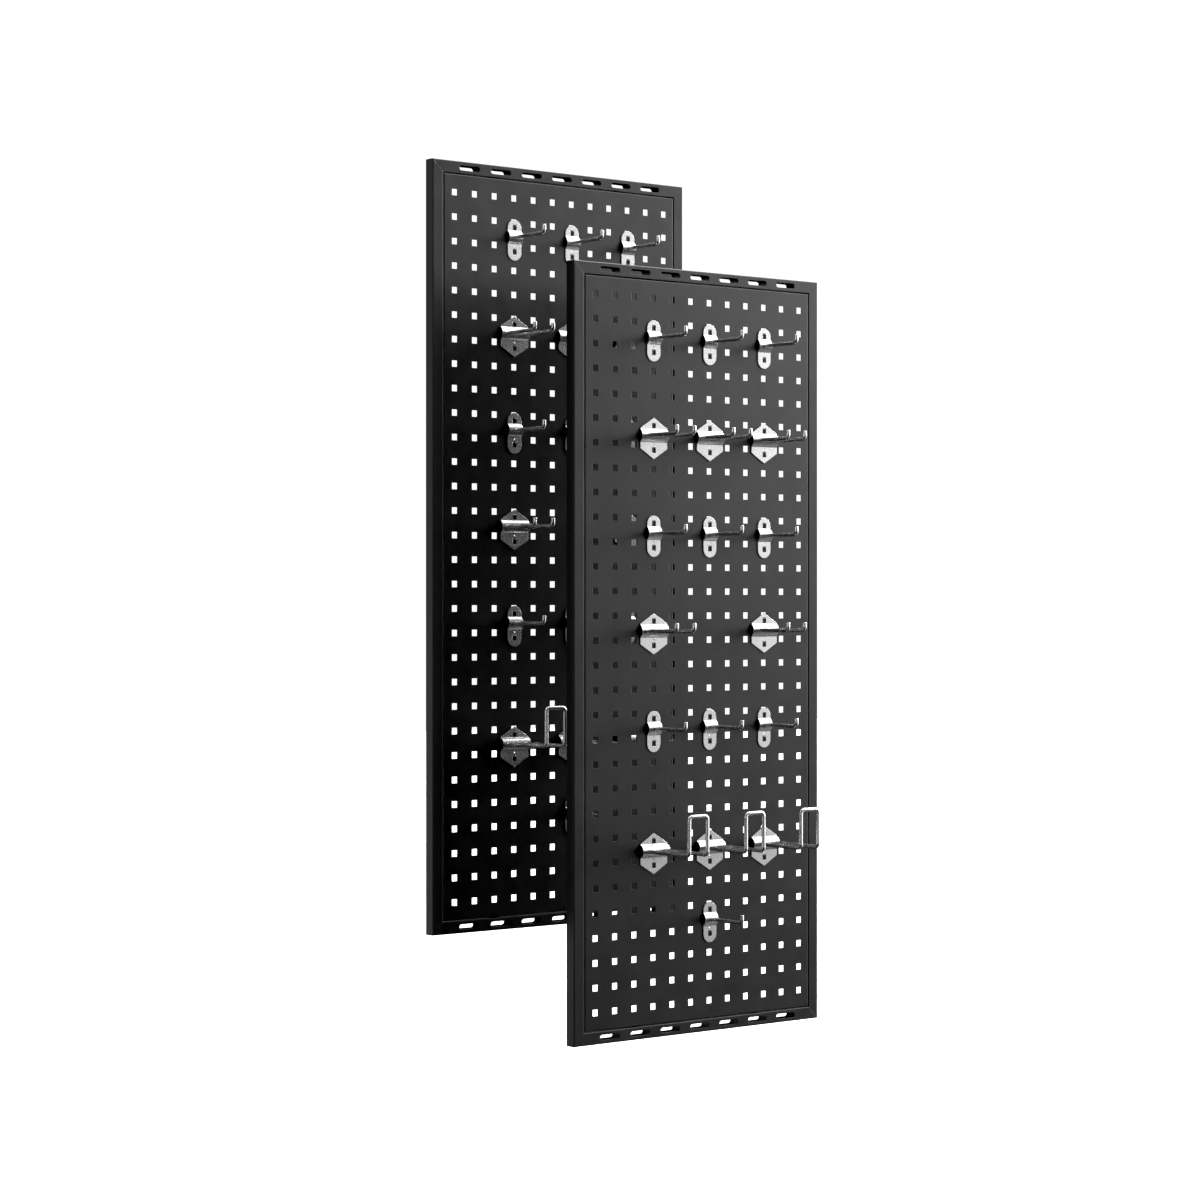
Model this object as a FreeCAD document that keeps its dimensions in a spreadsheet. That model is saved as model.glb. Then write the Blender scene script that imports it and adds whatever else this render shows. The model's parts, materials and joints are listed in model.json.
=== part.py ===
import FreeCAD, Part
import os
import re

import Sketcher
from FreeCAD import Placement, Rotation, Vector

# A pegboard tool wall: two identical steel panels, standing staggered as they are displayed, each
# with the same set of steel hooks. A panel is four welded square tubes round a perforated tray of
# folded sheet. A hook is a pressed backplate, whose two tabs hang in square holes of the tray, with
# one or two wires welded through its rib.
#
# The frame has +Z up, +X to the right and -Y out of the wall, towards the user. The origin is on
# the back of the front panel, in the middle of its wall slots.

SIZES = {
    # one panel
    "panel_width": 500,
    "panel_height": 1200,
    "tube_size": 20,
    "tube_wall": 1.2,
    "tube_corner": 1.5,
    "slot_length": 39,
    "slot_width": 8,
    "slot_pitch": 60,
    "slot_count": 7,
    "tray_thickness": 1.2,
    "tray_bend": 1.5,
    "tray_depth": 15,
    "tray_setback": 0,
    "tray_gap": 0.9,
    "weld_length": 20,
    "weld_depth": 3,
    "hole_size": 10,
    "hole_pitch": 38,
    "hole_columns": 12,
    "hole_rows": 30,
    # the rear panel's place, measured from the front one
    "stagger_left": 138.5,
    "stagger_back": 177.5,
    "stagger_up": 163.5,
    # backplates, with heights measured from the middle of the upper board hole
    "plate_thickness": 1.5,
    "plate_gap": 0.2,
    "plate_top": 4,
    "plate_height": 64,
    "narrow_width": 26,
    "wide_width": 53,
    "apex_height": 16,
    "window_size": 7.8,
    "window_top": -4.7,
    "peep_diameter": 2.4,
    "peep_level": -37,
    "rib_height": 20,
    "rib_level": -23.5,
    "rib_foot": 1.2,
    "shallow_rib": 5,
    "deep_rib": 7.5,
    "tab_width": 7.6,
    "tab_drop": 4.5,
    "tab_gap": 0.3,
    "tab_bend": 1.4,
    "blank_margin": 5,
    # wires
    "wire_diameter": 6,
    "wire_bend": 6,
    "wire_start": 2.7,
    "tip_round": 1,
    "prong_reach": 79,
    "prong_rise": 12.7,
    "prong_spacing": 35,
    "hoop_reach": 109.3,
    "hoop_rise": 60,
    "hoop_spacing": 36,
}

# The hooks of one panel: the row of holes, from the top, that the upper tab hangs in, the kind of
# hook, and the columns, from the left.
HOOK_ROWS = (
    (2, "single", (4, 7, 10)),
    (6, "double", (4, 7, 10)),
    (10, "single", (4, 7, 10)),
    (14, "double", (4, 10)),
    (18, "single", (4, 7, 10)),
    (23, "hoop", (4, 7, 10)),
    (26, "single", (7,)),
)

ALONG_X, ALONG_Y, ALONG_Z = Vector(1, 0, 0), Vector(0, 1, 0), Vector(0, 0, 1)
NEAR = 0.001

doc = FreeCAD.newDocument("pegboard_tool_wall")
sizes = doc.addObject("Spreadsheet::Sheet", "Sizes")
for line, (alias, number) in enumerate(SIZES.items(), start=1):
    sizes.set(f"A{line}", alias)
    sizes.set(f"B{line}", str(number))
    sizes.setAlias(f"B{line}", alias)
doc.recompute()


# ---------------------------------------------------------------- expressions and sketches


def formula(text):
    """Turn the words that are aliases into references to the sheet."""
    return re.sub(r"[a-z_]+", lambda word: f"Sizes.{word[0]}" if word[0] in SIZES else word[0],
                  str(text))


def value_of(text):
    return float(sizes.evalExpression(formula(text)))


def new_body(name):
    return doc.addObject("PartDesign::Body", name)


def new_sketch(body, name, role, offset=0):
    """A sketch on one of the body's own origin planes, moved along that plane's normal."""
    sketch = body.newObject("Sketcher::SketchObject", name)
    plane = next(item for item in body.Origin.OriginFeatures if item.Role == role)
    sketch.AttachmentSupport = [(plane, "")]
    sketch.MapMode = "FlatFace"
    sketch.setExpression("AttachmentOffset.Base.z", formula(offset))
    return sketch


def bind(sketch, name, kind, *target, to):
    """Add a driving dimension that takes its value from the sheet."""
    index = sketch.addConstraint(Sketcher.Constraint(kind, *target, value_of(to)))
    sketch.renameConstraint(index, name)
    sketch.setExpression(f"Constraints.{name}", formula(to))


def bind_point(sketch, name, piece, end, corner):
    bind(sketch, f"{name}_across", "DistanceX", -1, 1, piece, end, to=corner[0])
    bind(sketch, f"{name}_up", "DistanceY", -1, 1, piece, end, to=corner[1])


def check_solved(sketch):
    if sketch.solve() != 0:
        raise RuntimeError(f"{sketch.Name} has no clean solution")


def trace(sketch, name, corners, closed=True):
    """Draw an outline, or an open path, whose corners are bound to the sheet.

    A corner is (across, up), or (across, up, axis, text) where an arc leads from it to the next
    one: then axis is "across" or "up", and text says where the arc's centre lies on that axis.
    """
    points = [Vector(value_of(corner[0]), value_of(corner[1]), 0) for corner in corners]
    count = len(corners) if closed else len(corners) - 1
    first = sketch.GeometryCount
    for here in range(count):
        start, end = points[here], points[(here + 1) % len(points)]
        curved = len(corners[here]) > 2
        edge = arc_between(start, end, *corners[here][2:]) if curved else Part.LineSegment(start, end)
        sketch.addGeometry(edge, False)
    for here in range(count):
        piece, ends = first + here, ends_from(sketch, first + here, points[here])
        bind_point(sketch, f"{name}{here}", piece, ends[0], corners[here])
        if closed or here + 1 < count:
            follower = first + (here + 1) % count
            joint = ends_from(sketch, follower, points[(here + 1) % len(points)])[0]
            sketch.addConstraint(Sketcher.Constraint("Coincident", piece, ends[1], follower, joint))
        else:
            bind_point(sketch, f"{name}{here + 1}", piece, ends[1], corners[here + 1])
        if len(corners[here]) > 2:
            axis, text = corners[here][2:]
            kind = "DistanceX" if axis == "across" else "DistanceY"
            bind(sketch, f"{name}{here}_centre", kind, -1, 1, piece, 3, to=text)
    check_solved(sketch)


def arc_between(start, end, axis, text):
    """The shorter arc between two points; half a turn bulges to the right of the way along."""
    middle, way = (start + end) / 2, end - start
    left = Vector(-way.y, way.x, 0)
    reach, miss = (left.x, value_of(text) - middle.x) if axis == "across" else \
                  (left.y, value_of(text) - middle.y)
    centre = middle + left * (miss / reach)
    outwards = middle - centre if centre.distanceToPoint(middle) > NEAR else -left
    return Part.Arc(start, centre + outwards.normalize() * start.distanceToPoint(centre), end)


def ends_from(sketch, piece, start):
    """The two ends of a sketch line or arc, the one at start first: a sketch may swap an arc's."""
    return (1, 2) if sketch.getPoint(piece, 1).distanceToPoint(start) < NEAR else (2, 1)


def rectangle(sketch, name, left, right, low, high):
    trace(sketch, name, [(left, low), (right, low), (right, high), (left, high)])


def circle(sketch, name, across, up, diameter):
    centre = Vector(value_of(across), value_of(up), 0)
    piece = sketch.addGeometry(Part.Circle(centre, ALONG_Z, value_of(diameter) / 2), False)
    bind_point(sketch, name, piece, 3, (across, up))
    bind(sketch, f"{name}_diameter", "Diameter", piece, to=diameter)
    check_solved(sketch)


# ---------------------------------------------------------------- features


def pad(body, name, sketch, length, symmetric=False, reverse=False):
    feature = body.newObject("PartDesign::Pad", name)
    feature.Profile = sketch
    feature.SideType = "Symmetric" if symmetric else "One side"
    feature.Reversed = reverse
    feature.setExpression("Length", formula(length))
    doc.recompute()


def pocket(body, name, sketch, depth=None):
    """Cut a sketch to a depth along its normal, or right through both ways."""
    before = body.Shape.Volume
    feature = body.newObject("PartDesign::Pocket", name)
    feature.Profile = sketch
    if depth is None:
        feature.Type = "ThroughAll"
        feature.SideType = "Symmetric"
    else:
        feature.Reversed = True
        feature.setExpression("Length", formula(depth))
    doc.recompute()
    if not body.Shape.Volume < before - NEAR:
        raise RuntimeError(f"{name} cuts nothing")
    return feature


def repeat(body, name, original, *steps):
    """Repeat a cut in a row or a grid: each step is (sketch axis, pitch, count)."""
    grid = body.newObject("PartDesign::MultiTransform", name)
    grid.Originals = [original]
    lines = []
    for axis, pitch, count in steps:
        line = doc.addObject("PartDesign::LinearPattern", f"{name}_{axis}")
        line.Direction = (original.Profile[0], [axis])
        line.setExpression("Length", formula(f"{pitch} * ({count} - 1)"))
        line.setExpression("Occurrences", formula(count))
        body.addObject(line)
        lines.append(line)
    grid.Transformations = lines
    body.Tip = grid
    doc.recompute()


def fillet(body, name, radius, wanted):
    """Round the edges of the body that pass a test."""
    base = body.Tip
    edges = [f"Edge{index}" for index, edge in enumerate(base.Shape.Edges, start=1)
             if not edge.Degenerated and wanted(edge)]
    feature = body.newObject("PartDesign::Fillet", name)
    feature.Base = (base, edges)
    feature.setExpression("Radius", formula(radius))
    doc.recompute()


def runs_along(edge, axis):
    straight = edge.Curve.TypeId == "Part::GeomLine"
    return straight and abs(edge.tangentAt(edge.FirstParameter).dot(axis)) > 1 - NEAR


def lies_at(edge, axis, text):
    """True for an edge in the plane across an axis at one place."""
    place = value_of(text)
    return all(abs(vertex.Point.dot(axis) - place) < NEAR for vertex in edge.Vertexes)


# ---------------------------------------------------------------- the panel


def rail():
    """The top tube: mitred at both ends, with a row of wall slots through its front and back."""
    body = new_body("rail")
    square_tube(body, "YZ_Plane", ("-tube_size", "0"),
                ("panel_height / 2 - tube_size", "panel_height / 2"), "panel_width", ALONG_X)
    ends = new_sketch(body, "rail_ends", "XZ_Plane")
    for side in ("", "-"):
        inner = f"{side}(panel_width / 2 - 2 * tube_size)"
        outer = f"{side}(panel_width / 2 + tube_size)"
        trace(ends, "left" if side else "right", [
            (inner, "panel_height / 2 - 2 * tube_size"), (outer, "panel_height / 2 - 2 * tube_size"),
            (outer, "panel_height / 2 + tube_size")])
    pocket(body, "rail_mitres", ends)
    slot = new_sketch(body, "rail_slot", "XZ_Plane")
    middle = "(slot_count - 1) / 2 * slot_pitch"
    left = f"-{middle} - (slot_length - slot_width) / 2"
    right = f"-{middle} + (slot_length - slot_width) / 2"
    low = "panel_height / 2 - tube_size / 2 - slot_width / 2"
    high = "panel_height / 2 - tube_size / 2 + slot_width / 2"
    trace(slot, "slot", [(left, low), (right, low, "across", right), (right, high),
                         (left, high, "across", left)])
    first = pocket(body, "rail_first_slot", slot)
    repeat(body, "rail_slots", first, ("H_Axis", "slot_pitch", "slot_count"))
    return body


def stile():
    """The left tube, mitred at both ends."""
    body = new_body("stile")
    square_tube(body, "XY_Plane", ("-panel_width / 2", "tube_size - panel_width / 2"),
                ("-tube_size", "0"), "panel_height", ALONG_Z)
    ends = new_sketch(body, "stile_ends", "XZ_Plane")
    for side in ("", "-"):
        inner = f"{side}(panel_height / 2 - 2 * tube_size)"
        outer = f"{side}(panel_height / 2 + tube_size)"
        trace(ends, "low" if side else "high", [
            ("2 * tube_size - panel_width / 2", inner), ("2 * tube_size - panel_width / 2", outer),
            ("-tube_size - panel_width / 2", outer)])
    pocket(body, "stile_mitres", ends)
    return body


def square_tube(body, role, across, up, length, axis):
    """A square tube along an axis, with its four long edges rounded outside and inside."""
    section = new_sketch(body, f"{body.Name}_section", role)
    rectangle(section, "outer", *across, *up)
    rectangle(section, "inner", f"{across[0]} + tube_wall", f"{across[1]} - tube_wall",
              f"{up[0]} + tube_wall", f"{up[1]} - tube_wall")
    pad(body, f"{body.Name}_tube", section, length, symmetric=True)
    centre = body.Shape.BoundBox.Center
    between = value_of("(tube_size - tube_wall) / sqrt(2)")

    def is_outer(edge):
        arm = edge.Vertexes[0].Point - centre
        return (arm - axis * arm.dot(axis)).Length > between

    fillet(body, f"{body.Name}_bore_corners", "tube_corner - tube_wall",
           lambda edge: runs_along(edge, axis) and not is_outer(edge))
    fillet(body, f"{body.Name}_corners", "tube_corner",
           lambda edge: runs_along(edge, axis) and is_outer(edge))


def tray():
    """The perforated sheet: its edges turn back beside the tubes, and its holes form a grid."""
    body = new_body("tray")
    half_width = "(panel_width / 2 - tube_size - tray_gap)"
    half_height = "(panel_height / 2 - tube_size - tray_gap)"
    face = new_sketch(body, "tray_face", "XZ_Plane", "tube_size - tray_setback")
    rectangle(face, "edge", f"-{half_width}", half_width, f"-{half_height}", half_height)
    pad(body, "tray_block", face, "tray_depth", reverse=True)
    fillet(body, "tray_bends", "tray_bend",
           lambda edge: runs_along(edge, ALONG_Y) or lies_at(edge, ALONG_Y, "tray_setback - tube_size"))
    back = new_sketch(body, "tray_back", "XZ_Plane", "tube_size - tray_setback - tray_depth")
    inner_width, inner_height = f"({half_width} - tray_thickness)", f"({half_height} - tray_thickness)"
    rectangle(back, "wall", f"-{inner_width}", inner_width, f"-{inner_height}", inner_height)
    pocket(body, "tray_hollow", back, "tray_depth - tray_thickness")
    reach, half_depth = value_of(inner_width) + NEAR, value_of("tray_depth / 2")
    floor = "tray_setback + tray_thickness - tube_size"
    fillet(body, "tray_inner_bends", "tray_bend - tray_thickness",
           lambda edge: edge.BoundBox.XMax < reach and edge.BoundBox.XMin > -reach
           and (lies_at(edge, ALONG_Y, floor)
                or (runs_along(edge, ALONG_Y) and edge.Length > half_depth)))
    first = new_sketch(body, "tray_hole", "XZ_Plane")
    left, low = ("(hole_columns - 1) / 2 * hole_pitch", "(hole_rows - 1) / 2 * hole_pitch")
    rectangle(first, "hole", f"-{left} - hole_size / 2", f"-{left} + hole_size / 2",
              f"-{low} - hole_size / 2", f"-{low} + hole_size / 2")
    hole = pocket(body, "tray_first_hole", first)
    repeat(body, "tray_holes", hole, ("H_Axis", "hole_pitch", "hole_columns"),
           ("V_Axis", "hole_pitch", "hole_rows"))
    add_welds(body, half_width, half_height)
    return body


def add_welds(body, half_width, half_height):
    """Eight short welds at the back of the turned edges, two to a tube, across the gap to the tubes."""
    welds = new_sketch(body, "tray_weld", "XZ_Plane", "tube_size - tray_setback - tray_depth")
    root = "tray_thickness / 2"
    for side in ("", "-"):
        for way in ("", "-"):
            middle = f"{way}panel_height / 4"
            rectangle(welds, f"weld_{'left' if side else 'right'}_{'low' if way else 'high'}",
                      *in_order(side, f"({half_width} - {root})", f"({half_width} + tray_gap)"),
                      f"{middle} - weld_length / 2", f"{middle} + weld_length / 2")
            middle = f"{way}panel_width / 4"
            rectangle(welds, f"weld_{'bottom' if side else 'top'}_{'left' if way else 'right'}",
                      f"{middle} - weld_length / 2", f"{middle} + weld_length / 2",
                      *in_order(side, f"({half_height} - {root})", f"({half_height} + tray_gap)"))
    pad(body, "tray_welds", welds, "weld_depth")


def in_order(side, near, far):
    """The two ends of a span on one side of the middle, the lower one first."""
    return (f"-{far}", f"-{near}") if side else (near, far)


# ---------------------------------------------------------------- the hooks
# A hook's frame has its origin in the middle of the upper board hole, on the front of the tray.


def narrow_outline(sketch):
    """Straight sides with a half-round end above and below."""
    side = "narrow_width / 2"
    low = "plate_top - plate_height + narrow_width / 2"
    high = "plate_top - narrow_width / 2"
    trace(sketch, "plate", [(f"-{side}", low, "up", low), (side, low), (side, high, "up", high),
                            (f"-{side}", high)])


def wide_outline(sketch):
    """A hexagon with an apex above and below."""
    side = "wide_width / 2"
    low, high = "plate_top - plate_height", "plate_top"
    trace(sketch, "plate", [
        ("0", low), (side, f"{low} + apex_height"), (side, f"{high} - apex_height"),
        ("0", high), (f"-{side}", f"{high} - apex_height"), (f"-{side}", f"{low} + apex_height")])


def backplate(name, width, outline, rib, wires):
    """A pressed plate: ribbed strip, blanked to its outline, pierced, with two tabs turned back."""
    body = new_body(name)
    front, back = "(-plate_gap - plate_thickness)", "(-plate_gap)"
    low, high = "plate_top - plate_height", "plate_top"
    rib_low, rib_high = "rib_level - rib_height / 2", "rib_level + rib_height / 2"
    radius = f"((rib_height ^ 2 / 4 + {rib} ^ 2) / (2 * {rib}))"
    centre = f"{front} - {rib} + {radius}"
    hollow = f"sqrt({rib} * (2 * {radius} - 2 * plate_thickness - {rib}))"
    section = new_sketch(body, f"{name}_section", "YZ_Plane")
    trace(section, "strip", [
        (front, low), (back, low), (back, f"rib_level - {hollow}", "across", centre),
        (back, f"rib_level + {hollow}"), (back, high), (front, high),
        (front, rib_high, "across", centre), (front, rib_low)])
    pad(body, f"{name}_strip", section, f"{width} + 2 * blank_margin", symmetric=True)
    round_foot(body, f"{name}_rib_feet", "rib_foot", front)
    round_foot(body, f"{name}_rib_backs", "rib_foot + plate_thickness", back)

    waste = new_sketch(body, f"{name}_waste", "XZ_Plane")
    aside = f"({width} / 2 + 2 * blank_margin)"
    rectangle(waste, "around", f"-{aside}", aside, f"{low} - blank_margin", f"{high} + blank_margin")
    outline(waste)
    pocket(body, f"{name}_blank", waste)

    pierced = new_sketch(body, f"{name}_pierced", "XZ_Plane")
    for place, drop in (("upper", "0"), ("lower", "hole_pitch")):
        rectangle(pierced, place, "-window_size / 2", "window_size / 2",
                  f"window_top - window_size - {drop}", f"window_top - {drop}")
    circle(pierced, "peep", "0", "peep_level", "peep_diameter")
    for index, across in enumerate(wires):
        circle(pierced, f"wire{index}", across, "rib_level", "wire_diameter")
    pocket(body, f"{name}_holes", pierced)
    add_tabs(body, name, front)
    return body


def round_foot(body, name, radius, plane):
    """Round the two long edges where the rib leaves one face of the strip."""
    top, bottom = value_of("plate_top") - NEAR, value_of("plate_top - plate_height") + NEAR
    fillet(body, name, radius,
           lambda edge: runs_along(edge, ALONG_X) and lies_at(edge, ALONG_Y, plane)
           and bottom < edge.Vertexes[0].Z < top)


def add_tabs(body, name, front):
    """Two tabs, bent back through the board holes and down behind the tray."""
    neck, end = "tray_thickness + tab_gap", "tray_thickness + tab_gap + plate_thickness"
    section = new_sketch(body, f"{name}_tab_section", "YZ_Plane")
    for place, drop in (("upper", "0"), ("lower", "hole_pitch")):
        under = f"window_top - {drop}"
        trace(section, place, [
            (front, under), (neck, under), (neck, f"{under} - tab_drop"), (end, f"{under} - tab_drop"),
            (end, f"{under} + plate_thickness"), (front, f"{under} + plate_thickness")])
    pad(body, f"{name}_tabs", section, "tab_width", symmetric=True)
    bends = [(plane, f"window_top + {rise} - {drop}") for drop in ("0", "hole_pitch")
             for plane, rise in ((front, "0"), (end, "plate_thickness"))]
    fillet(body, f"{name}_tab_bends", "tab_bend",
           lambda edge: runs_along(edge, ALONG_X) and any(
               lies_at(edge, ALONG_Y, plane) and lies_at(edge, ALONG_Z, level)
               for plane, level in bends))


def add_pipe(body, name, profile_at, spine_on, corners):
    """Sweep the wire's round section along a path: profile_at is (plane, offset, across, up)."""
    profile = new_sketch(body, f"{name}_round", *profile_at[:2])
    circle(profile, "wire", *profile_at[2:], "wire_diameter")
    spine = new_sketch(body, f"{name}_path", *spine_on)
    trace(spine, "path", corners, closed=False)
    pipe = body.newObject("PartDesign::AdditivePipe", name)
    pipe.Profile = profile
    pipe.Spine = spine
    doc.recompute()


def add_forward_wire(body, name, across, reach, top):
    """A wire out of the rib, forward to its reach and then up to a height above the rib."""
    bend = f"-{reach} + wire_bend"
    add_pipe(body, name, ("XZ_Plane", "wire_start", across, "rib_level"), ("YZ_Plane", across), [
        ("-wire_start", "rib_level"), (bend, "rib_level", "up", "rib_level + wire_bend"),
        (f"-{reach}", "rib_level + wire_bend"), (f"-{reach}", f"rib_level + {top}")])


def prong():
    """One straight prong with an upturned tip."""
    body = new_body("prong")
    add_forward_wire(body, "prong_wire", "0", "prong_reach", "prong_rise")
    fillet(body, "prong_tip", "tip_round",
           lambda edge: lies_at(edge, ALONG_Z, "rib_level + prong_rise"))
    return body


def hoop():
    """One wire that comes out of the rib twice and stands up between as a tall closed hoop."""
    body = new_body("hoop")
    for name, across in (("hoop_left", "-hoop_spacing / 2"), ("hoop_right", "hoop_spacing / 2")):
        add_forward_wire(body, name, across, "hoop_reach", "hoop_rise / 2")
    side, start, top = "hoop_spacing / 2", "rib_level + hoop_rise / 2", "rib_level + hoop_rise"
    add_pipe(body, "hoop_top", ("XY_Plane", start, f"-{side}", "-hoop_reach"),
             ("XZ_Plane", "hoop_reach"), [
        (f"-{side}", start), (f"-{side}", f"{top} - wire_bend", "up", f"{top} - wire_bend"),
        (f"-{side} + wire_bend", top), (f"{side} - wire_bend", top, "up", f"{top} - wire_bend"),
        (side, f"{top} - wire_bend"), (side, start)])
    return body


# ---------------------------------------------------------------- the assembly


def place(label, pieces, across="0", back="0", up="0", turned=False):
    """Put pieces in place as one named object; turned swaps left with right and top with bottom."""
    group = doc.addObject("Part::Compound", label)
    group.Label = label
    group.Links = pieces
    if turned:
        group.Placement = Placement(Vector(), Rotation(ALONG_Y, 180))
    for axis, text in zip("xyz", (across, back, up)):
        group.setExpression(f".Placement.Base.{axis}", formula(text))
    return group


def assemble_panel(panel, corner, frame_pieces, hooks):
    """Place one panel's frame, tray and hooks, all moved by the panel's own offset."""
    rail_body, stile_body, tray_body = frame_pieces
    nodes = [
        place(f"{panel}_top_rail", [rail_body], *corner),
        place(f"{panel}_bottom_rail", [rail_body], *corner, turned=True),
        place(f"{panel}_left_stile", [stile_body], *corner),
        place(f"{panel}_right_stile", [stile_body], *corner, turned=True),
        place(f"{panel}_perforated_tray", [tray_body], *corner),
    ]
    for row, kind, columns in HOOK_ROWS:
        for column in columns:
            across = f"{corner[0]} + ({column} - (hole_columns + 1) / 2) * hole_pitch"
            back = f"{corner[1]} + tray_setback - tube_size"
            up = f"{corner[2]} + ((hole_rows + 1) / 2 - {row}) * hole_pitch"
            name = f"{panel}_{kind}_hook_row{row:02d}_column{column:02d}"
            nodes.append(place(name, hooks[kind], across, back, up))
    return nodes


def hook_kinds():
    """The pieces of each kind of hook, in the hook's own frame."""
    prong_body = prong()
    half = "prong_spacing / 2"
    pair = [place("left_prong", [prong_body], f"-{half}"), place("right_prong", [prong_body], half)]
    sides = ("-hoop_spacing / 2", "hoop_spacing / 2")
    return {
        "single": [backplate("single_plate", "narrow_width", narrow_outline, "shallow_rib", ("0",)),
                   prong_body],
        "double": [backplate("double_plate", "wide_width", wide_outline, "shallow_rib",
                             (f"-{half}", half)), *pair],
        "hoop": [backplate("hoop_plate", "wide_width", wide_outline, "deep_rib", sides), hoop()],
    }


def check_and_write(nodes):
    doc.recompute()
    for item in doc.Objects:
        if any(word in item.State for word in ("Invalid", "Error")):
            raise RuntimeError(f"{item.Name}: {item.State}")
    os.makedirs("parts", exist_ok=True)
    for node in nodes:
        if node.Shape.isNull() or not node.Shape.isValid():
            raise RuntimeError(f"{node.Label} has no valid shape")
        node.Shape.exportStep(f"parts/{node.Label}.step")
    print(f"{len(nodes)} nodes written")


frame_pieces = (rail(), stile(), tray())
hooks = hook_kinds()
nodes = assemble_panel("front", ("0", "0", "0"), frame_pieces, hooks)
nodes += assemble_panel("rear", ("-stagger_left", "stagger_back", "stagger_up"), frame_pieces, hooks)
check_and_write(nodes)
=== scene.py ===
import json
import math

import bpy
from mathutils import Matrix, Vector


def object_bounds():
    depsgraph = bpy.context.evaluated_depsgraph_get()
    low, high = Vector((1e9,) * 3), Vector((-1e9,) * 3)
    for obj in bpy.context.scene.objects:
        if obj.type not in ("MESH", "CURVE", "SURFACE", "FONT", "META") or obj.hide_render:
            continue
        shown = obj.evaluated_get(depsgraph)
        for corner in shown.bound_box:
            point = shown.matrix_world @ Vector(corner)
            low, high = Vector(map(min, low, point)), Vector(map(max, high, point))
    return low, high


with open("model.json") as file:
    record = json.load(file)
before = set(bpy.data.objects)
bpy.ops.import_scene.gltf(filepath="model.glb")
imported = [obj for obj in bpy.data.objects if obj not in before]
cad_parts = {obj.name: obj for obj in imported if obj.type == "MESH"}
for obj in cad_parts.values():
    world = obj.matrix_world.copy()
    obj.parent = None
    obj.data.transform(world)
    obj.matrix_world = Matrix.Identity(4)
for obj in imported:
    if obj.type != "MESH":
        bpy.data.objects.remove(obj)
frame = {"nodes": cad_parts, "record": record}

cad_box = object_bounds()
scene = bpy.context.scene


# ---------------------------------------------------------------- node helpers
def node(tree, kind, **settings):
    """Adds one shader node and sets its properties."""
    made = tree.nodes.new(kind)
    for key, value in settings.items():
        setattr(made, key, value)
    return made


def feed(tree, source, target):
    tree.links.new(source, target)


def math_node(tree, operation, first, second):
    """A Math node whose inputs are sockets or plain numbers."""
    made = node(tree, "ShaderNodeMath", operation=operation)
    for slot, value in zip(made.inputs, (first, second)):
        if isinstance(value, (int, float)):
            slot.default_value = value
        else:
            feed(tree, value, slot)
    return made.outputs["Value"]


def times(tree, first, second):
    return math_node(tree, "MULTIPLY", first, second)


def plus(tree, first, second):
    return math_node(tree, "ADD", first, second)


def noise(tree, where, scale, detail, rough=0.5):
    """Fractal noise, 0 to 1; the scale is in cells per metre."""
    made = node(tree, "ShaderNodeTexNoise")
    made.inputs["Scale"].default_value = scale
    made.inputs["Detail"].default_value = detail
    made.inputs["Roughness"].default_value = rough
    feed(tree, where, made.inputs["Vector"])
    return made.outputs["Fac"]


def remap(tree, value, low, high, to_low, to_high, smooth=False):
    """Carries low..high over to to_low..to_high and holds the ends beyond."""
    made = node(tree, "ShaderNodeMapRange", clamp=True)
    made.interpolation_type = "SMOOTHSTEP" if smooth else "LINEAR"
    settings = (("From Min", low), ("From Max", high), ("To Min", to_low), ("To Max", to_high))
    for name, number in settings:
        made.inputs[name].default_value = number
    feed(tree, value, made.inputs["Value"])
    return made.outputs["Result"]


def blend_colours(tree, factor, first, second):
    """Mixes two colours, each a socket or a plain colour."""
    made = node(tree, "ShaderNodeMix", data_type="RGBA")
    feed(tree, factor, made.inputs["Factor"])
    first_colour, second_colour = made.inputs[6], made.inputs[7]
    for slot, value in ((first_colour, first), (second_colour, second)):
        if isinstance(value, tuple):
            slot.default_value = (*value, 1.0)
        else:
            feed(tree, value, slot)
    colour_result = made.outputs[2]
    return colour_result


def edge_mask(tree, radius, sharpness):
    """1 along the sharp edges of a mesh, 0 on its flats, and the rounded normal that goes with it."""
    bevel = node(tree, "ShaderNodeBevel", samples=6)
    bevel.inputs["Radius"].default_value = radius
    geometry = node(tree, "ShaderNodeNewGeometry")
    likeness = node(tree, "ShaderNodeVectorMath", operation="DOT_PRODUCT")
    feed(tree, bevel.outputs["Normal"], likeness.inputs[0])
    feed(tree, geometry.outputs["Normal"], likeness.inputs[1])
    mask = remap(tree, likeness.outputs["Value"], 1.0 - sharpness, 1.0, 1.0, 0.0)
    return mask, bevel.outputs["Normal"]


def rough_surface(tree, height, round_normal, strength, distance):
    """Bumps of a height on top of the rounded edges; the distance is in metres."""
    bump = node(tree, "ShaderNodeBump")
    bump.inputs["Strength"].default_value = strength
    bump.inputs["Distance"].default_value = distance
    feed(tree, height, bump.inputs["Height"])
    feed(tree, round_normal, bump.inputs["Normal"])
    return bump.outputs["Normal"]


# ---------------------------------------------------------------- materials
COAT_DARK = (0.0010, 0.0010, 0.0011)
COAT_LIGHT = (0.0020, 0.0020, 0.0021)
COAT_FLECK = (0.010, 0.010, 0.011)
# a lighter coat colour for the painted highlight along the edges
COAT_EDGE_HIGHLIGHT = (0.014, 0.014, 0.015)
COAT_IOR = 1.50

ZINC_BLUISH = (0.715, 0.725, 0.74)
ZINC_WARM = (0.755, 0.755, 0.75)
ZINC_DULL = (0.50, 0.50, 0.50)
# less than 1, for the thin haze of passivation on bright zinc
ZINC_METALLIC = 0.82


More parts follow.
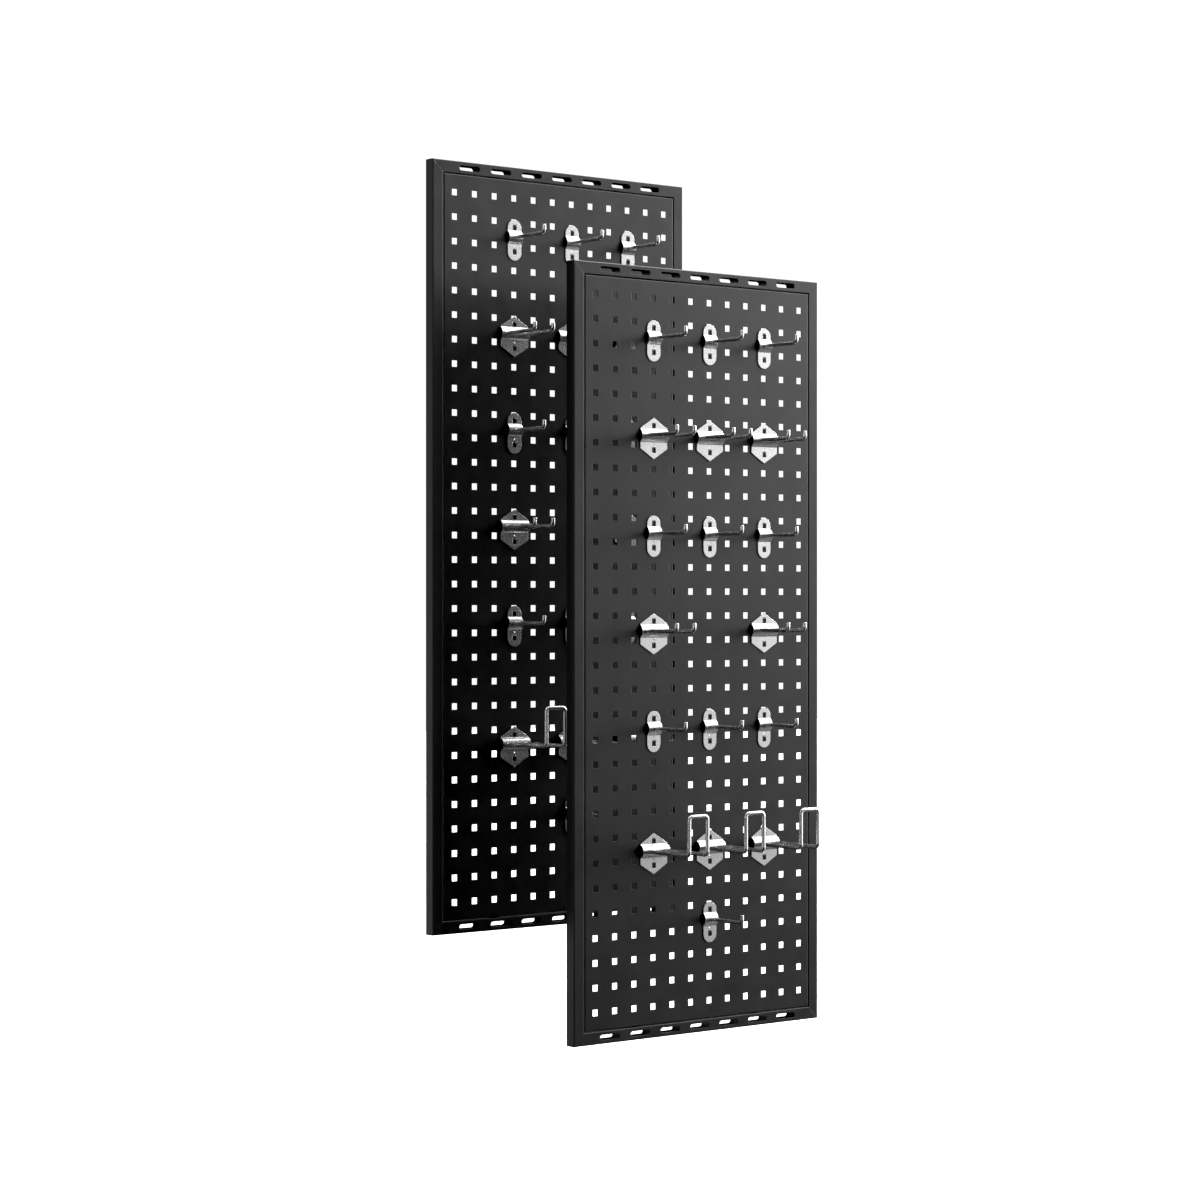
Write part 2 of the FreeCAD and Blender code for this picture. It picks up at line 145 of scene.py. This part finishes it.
def powder_coat():
    """Black semi-gloss powder coat: orange peel, a slight mottle, flecks, and a thin painted highlight along
    the edges.
    """
    material = bpy.data.materials.new("powder_coat")
    material.use_nodes = True
    tree = material.node_tree
    shader = tree.nodes["Principled BSDF"]
    where = node(tree, "ShaderNodeTexCoord").outputs["Object"]
    edge_line, round_normal = edge_mask(tree, 0.0006, 0.12)

    mottled = blend_colours(tree, noise(tree, where, 9.0, 3.0), COAT_DARK, COAT_LIGHT)
    fleck = remap(tree, noise(tree, where, 650.0, 2.0), 0.66, 0.72, 0.0, 1.0)
    flecked = blend_colours(tree, times(tree, fleck, 0.35), mottled, COAT_FLECK)
    patchy = remap(tree, noise(tree, where, 140.0, 3.0), 0.42, 0.62, 0.15, 1.0)
    # painted highlight: the sharp edges are lit up in the colour itself, in patches, and made a little
    # rougher
    painted_edge_highlight = times(tree, edge_line, patchy)
    colour = blend_colours(tree, times(tree, painted_edge_highlight, 0.6), flecked, COAT_EDGE_HIGHLIGHT)
    feed(tree, colour, shader.inputs["Base Color"])

    smear = remap(tree, noise(tree, where, 26.0, 4.0, 0.6), 0.3, 0.7, 0.31, 0.37)
    feed(tree, plus(tree, smear, times(tree, painted_edge_highlight, 0.08)), shader.inputs["Roughness"])
    shader.inputs["IOR"].default_value = COAT_IOR

    peel = noise(tree, where, 420.0, 2.0, 0.55)
    grain = noise(tree, where, 1900.0, 1.0)
    height = plus(tree, peel, times(tree, grain, 0.25))
    normal = rough_surface(tree, height, round_normal, 0.16, 0.0004)
    feed(tree, normal, shader.inputs["Normal"])
    return material


def bright_zinc():
    """Bright zinc plate: near-white metal with faint clouding, fine draw lines and duller edges."""
    material = bpy.data.materials.new("bright_zinc")
    material.use_nodes = True
    tree = material.node_tree
    shader = tree.nodes["Principled BSDF"]
    where = node(tree, "ShaderNodeTexCoord").outputs["Object"]
    edge_line, round_normal = edge_mask(tree, 0.0003, 0.2)

    cloud = remap(tree, noise(tree, where, 75.0, 4.0, 0.6), 0.35, 0.65, 0.0, 1.0)
    clouded = blend_colours(tree, cloud, ZINC_BLUISH, ZINC_WARM)
    dulled = blend_colours(tree, times(tree, edge_line, 0.5), clouded, ZINC_DULL)
    feed(tree, dulled, shader.inputs["Base Color"])
    shader.inputs["Metallic"].default_value = ZINC_METALLIC

    frost = remap(tree, noise(tree, where, 240.0, 5.0, 0.65), 0.3, 0.7, 0.19, 0.25)
    feed(tree, plus(tree, frost, times(tree, edge_line, 0.1)), shader.inputs["Roughness"])

    # draw lines run out from the wall, along Y
    stretch = node(tree, "ShaderNodeMapping")
    stretch.inputs["Scale"].default_value = (1.0, 0.08, 1.0)
    feed(tree, where, stretch.inputs["Vector"])
    drawn = noise(tree, stretch.outputs["Vector"], 1500.0, 2.0)
    dents = noise(tree, where, 160.0, 2.0)
    height = plus(tree, times(tree, drawn, 0.25), dents)
    normal = rough_surface(tree, height, round_normal, 0.025, 0.0003)
    feed(tree, normal, shader.inputs["Normal"])
    return material


def finish_parts():
    """Gives every part of the frame the finish that its record names."""
    finishes = {"powder_coat": powder_coat(), "bright_zinc": bright_zinc()}
    for part in frame["record"]["subparts"]:
        shown = frame["nodes"][part["node"]]
        for slot in shown.material_slots:
            slot.material = finishes[part["material_slot"]]


# ---------------------------------------------------------------- studio
# Light by the height of a direction: -1 straight down, 0 level, 1 straight up.
WALL_LEVELS = (
    (-1.0, 0.30), (-0.60, 0.20), (-0.38, 0.01), (-0.20, 0.01), (-0.12, 0.36), (-0.04, 0.93),
    (0.04, 1.05), (0.12, 1.05), (0.28, 1.3), (0.38, 2.2), (0.48, 4.0), (0.60, 4.5))
BEHIND_LEVELS = (
    (-0.50, 0.3), (-0.22, 0.4), (-0.12, 0.95), (-0.05, 0.72), (0.05, 0.48), (0.15, 0.39),
    (0.35, 0.5), (0.55, 2.5))
GLOW_LEVELS = (
    (-0.40, 0.1), (-0.25, 0.2), (-0.14, 0.6), (-0.09, 0.7), (-0.05, 0.6), (0.0, 0.3), (0.05, 0.1))
LEFT_LEVELS = ((-0.04, 0.0), (0.0, 1.5), (0.25, 1.5), (0.40, 0.3))
BOX_LEVEL = 8.6
STRIP_LEVEL = 3.0
OVERHEAD_LEVEL = 3.0
FILL_LEVEL = 0.8
AMBIENT_LEVEL = 0.015
BACKGROUND_LEVEL = 1.1

TOP_SOFTBOX_RADIANCE = 3.5
BLACK_LEVEL = 0.0050

LENS = 85.0
SENSOR_WIDTH = 36.0
CAMERA_PLACE = (-2.87006, -3.44844, 0.08171)
CAMERA_TURN = -37.912


def by_height(tree, height, levels):
    """A light level for each height of a direction, straight lines between."""
    top_level = 10.0
    curve = node(tree, "ShaderNodeFloatCurve")
    points = curve.mapping.curves[0].points
    curve.mapping.use_clip = False
    curve.mapping.extend = "HORIZONTAL"
    while len(points) < len(levels):
        points.new(0.5, 0.5)
    for point, (place, level) in zip(points, levels):
        point.location = ((place + 1.0) / 2.0, level / top_level)
        point.handle_type = "VECTOR"
    curve.mapping.update()
    feed(tree, remap(tree, height, -1.0, 1.0, 0.0, 1.0), curve.inputs["Value"])
    return times(tree, curve.outputs["Value"], top_level)


def background(tree, level):
    """An even white background; the level is a socket or a plain number."""
    made = node(tree, "ShaderNodeBackground")
    made.inputs["Color"].default_value = (1.0, 1.0, 1.0, 1.0)
    if isinstance(level, float):
        made.inputs["Strength"].default_value = level
    else:
        feed(tree, level, made.inputs["Strength"])
    return made.outputs["Background"]


def studio_world():
    """Soft lamps round the panels, each a range of directions, with white behind for the camera.

    A direction is a unit vector in the axes of the frame: X to the right, Y behind, Z up.
    """
    world = bpy.data.worlds.new("studio")
    world.use_nodes = True
    tree = world.node_tree
    tree.nodes.clear()
    axes = node(tree, "ShaderNodeSeparateXYZ")
    feed(tree, node(tree, "ShaderNodeTexCoord").outputs["Generated"], axes.inputs["Vector"])
    right, behind, up = axes.outputs["X"], axes.outputs["Y"], axes.outputs["Z"]

    def ramp(axis, dark, lit, level=1.0):
        """0 as far as `dark`, the full level from `lit` on, soft between."""
        return remap(tree, axis, dark, lit, 0.0, level, smooth=True)

    # the lit wall to the right of the camera
    wall = times(tree, ramp(right, 0.51, 0.60), by_height(tree, up, WALL_LEVELS))
    # a large softbox further round to the right
    softbox_right = times(tree, ramp(right, 0.71, 0.80, BOX_LEVEL), ramp(up, -0.05, 0.20))
    # a strip of light beyond it, which reaches lower
    strip = times(tree, ramp(right, 0.84, 0.92, STRIP_LEVEL), ramp(up, -0.45, -0.25))
    # above and behind, for the top edges
    overhead = times(tree, ramp(up, 0.50, 0.75, OVERHEAD_LEVEL), ramp(behind, -0.15, 0.15))
    # the backdrop behind, brightest a little below level
    backdrop = times(tree, ramp(behind, 0.60, 0.85), by_height(tree, up, BEHIND_LEVELS))
    # a low glow behind on the left
    glow_sides = times(tree, ramp(right, -0.74, -0.84), ramp(behind, 0.20, 0.30))
    glow = times(tree, glow_sides, by_height(tree, up, GLOW_LEVELS))
    # a window of light square on to the left, above the lens
    window_sides = times(tree, ramp(right, -0.88, -0.95), ramp(behind, 0.30, 0.20))
    window = times(tree, window_sides, by_height(tree, up, LEFT_LEVELS))
    # a weak fill from straight ahead, for views that face the panels
    fill = times(tree, ramp(behind, -0.93, -0.98, FILL_LEVEL), ramp(right, 0.20, 0.05))

    level = plus(tree, wall, softbox_right)
    for light in (strip, overhead, backdrop, glow, window, fill, AMBIENT_LEVEL):
        level = plus(tree, level, light)
    pick = node(tree, "ShaderNodeMixShader")
    lit_shader, seen_shader = pick.inputs[1], pick.inputs[2]
    feed(tree, node(tree, "ShaderNodeLightPath").outputs["Is Camera Ray"], pick.inputs["Fac"])
    feed(tree, background(tree, level), lit_shader)
    feed(tree, background(tree, BACKGROUND_LEVEL), seen_shader)
    feed(tree, pick.outputs["Shader"], node(tree, "ShaderNodeOutputWorld").inputs["Surface"])
    return world


def top_softbox(low, high):
    """A rectangular lamp of an even radiance above and in front of the panels, facing their middle."""
    width, depth = 1.8, 1.6
    aim = (low + high) / 2.0
    light = bpy.data.lights.new("top_softbox", "AREA")
    light.shape = "RECTANGLE"
    light.size = width
    light.size_y = depth
    light.energy = TOP_SOFTBOX_RADIANCE * math.pi * width * depth
    lamp = bpy.data.objects.new("top_softbox", light)
    lamp.location = (aim.x + 0.3, aim.y - 0.6, high.z + 1.6)
    lamp.rotation_euler = (aim - Vector(lamp.location)).to_track_quat("-Z", "Y").to_euler()
    scene.collection.objects.link(lamp)


def pale_floor(low):
    """A wide pale floor below the hanging panels, bright enough to run into the white behind."""
    reach, level = 14.0, low.z - 0.30
    corners = [(-reach, -reach, level), (reach, -reach, level), (reach, reach, level), (-reach, reach, level)]
    mesh = bpy.data.meshes.new("studio_floor")
    mesh.from_pydata(corners, [], [(0, 1, 2, 3)])
    material = bpy.data.materials.new("studio_floor")
    material.use_nodes = True
    shader = material.node_tree.nodes["Principled BSDF"]
    shader.inputs["Base Color"].default_value = (0.85, 0.85, 0.85, 1.0)
    shader.inputs["Roughness"].default_value = 0.9
    shader.inputs["Emission Color"].default_value = (1.0, 1.0, 1.0, 1.0)
    shader.inputs["Emission Strength"].default_value = 0.7
    mesh.materials.append(material)
    floor = bpy.data.objects.new("studio_floor", mesh)
    scene.collection.objects.link(floor)
    # it is seen, but neither mirrored in the panels nor a light on them
    floor.visible_glossy = False
    floor.visible_diffuse = False


def camera_in_front():
    """A long lens level with the panels' middle, to the left of them and turned towards them."""
    data = bpy.data.cameras.new("camera")
    data.lens = LENS
    data.sensor_width = SENSOR_WIDTH
    camera = bpy.data.objects.new("camera", data)
    camera.location = CAMERA_PLACE
    camera.rotation_euler = (math.radians(90.0), 0.0, math.radians(CAMERA_TURN))
    scene.collection.objects.link(camera)
    return camera


def print_style():
    """The plain display transform, with the deepest blacks closed up a little."""
    view = scene.view_settings
    view.view_transform = "Standard"
    view.use_curve_mapping = True
    view.curve_mapping.black_level = (BLACK_LEVEL, BLACK_LEVEL, BLACK_LEVEL)
    view.curve_mapping.update()


finish_parts()
scene.world = studio_world()
top_softbox(*cad_box)
pale_floor(cad_box[0])
scene.camera = camera_in_front()
print_style()
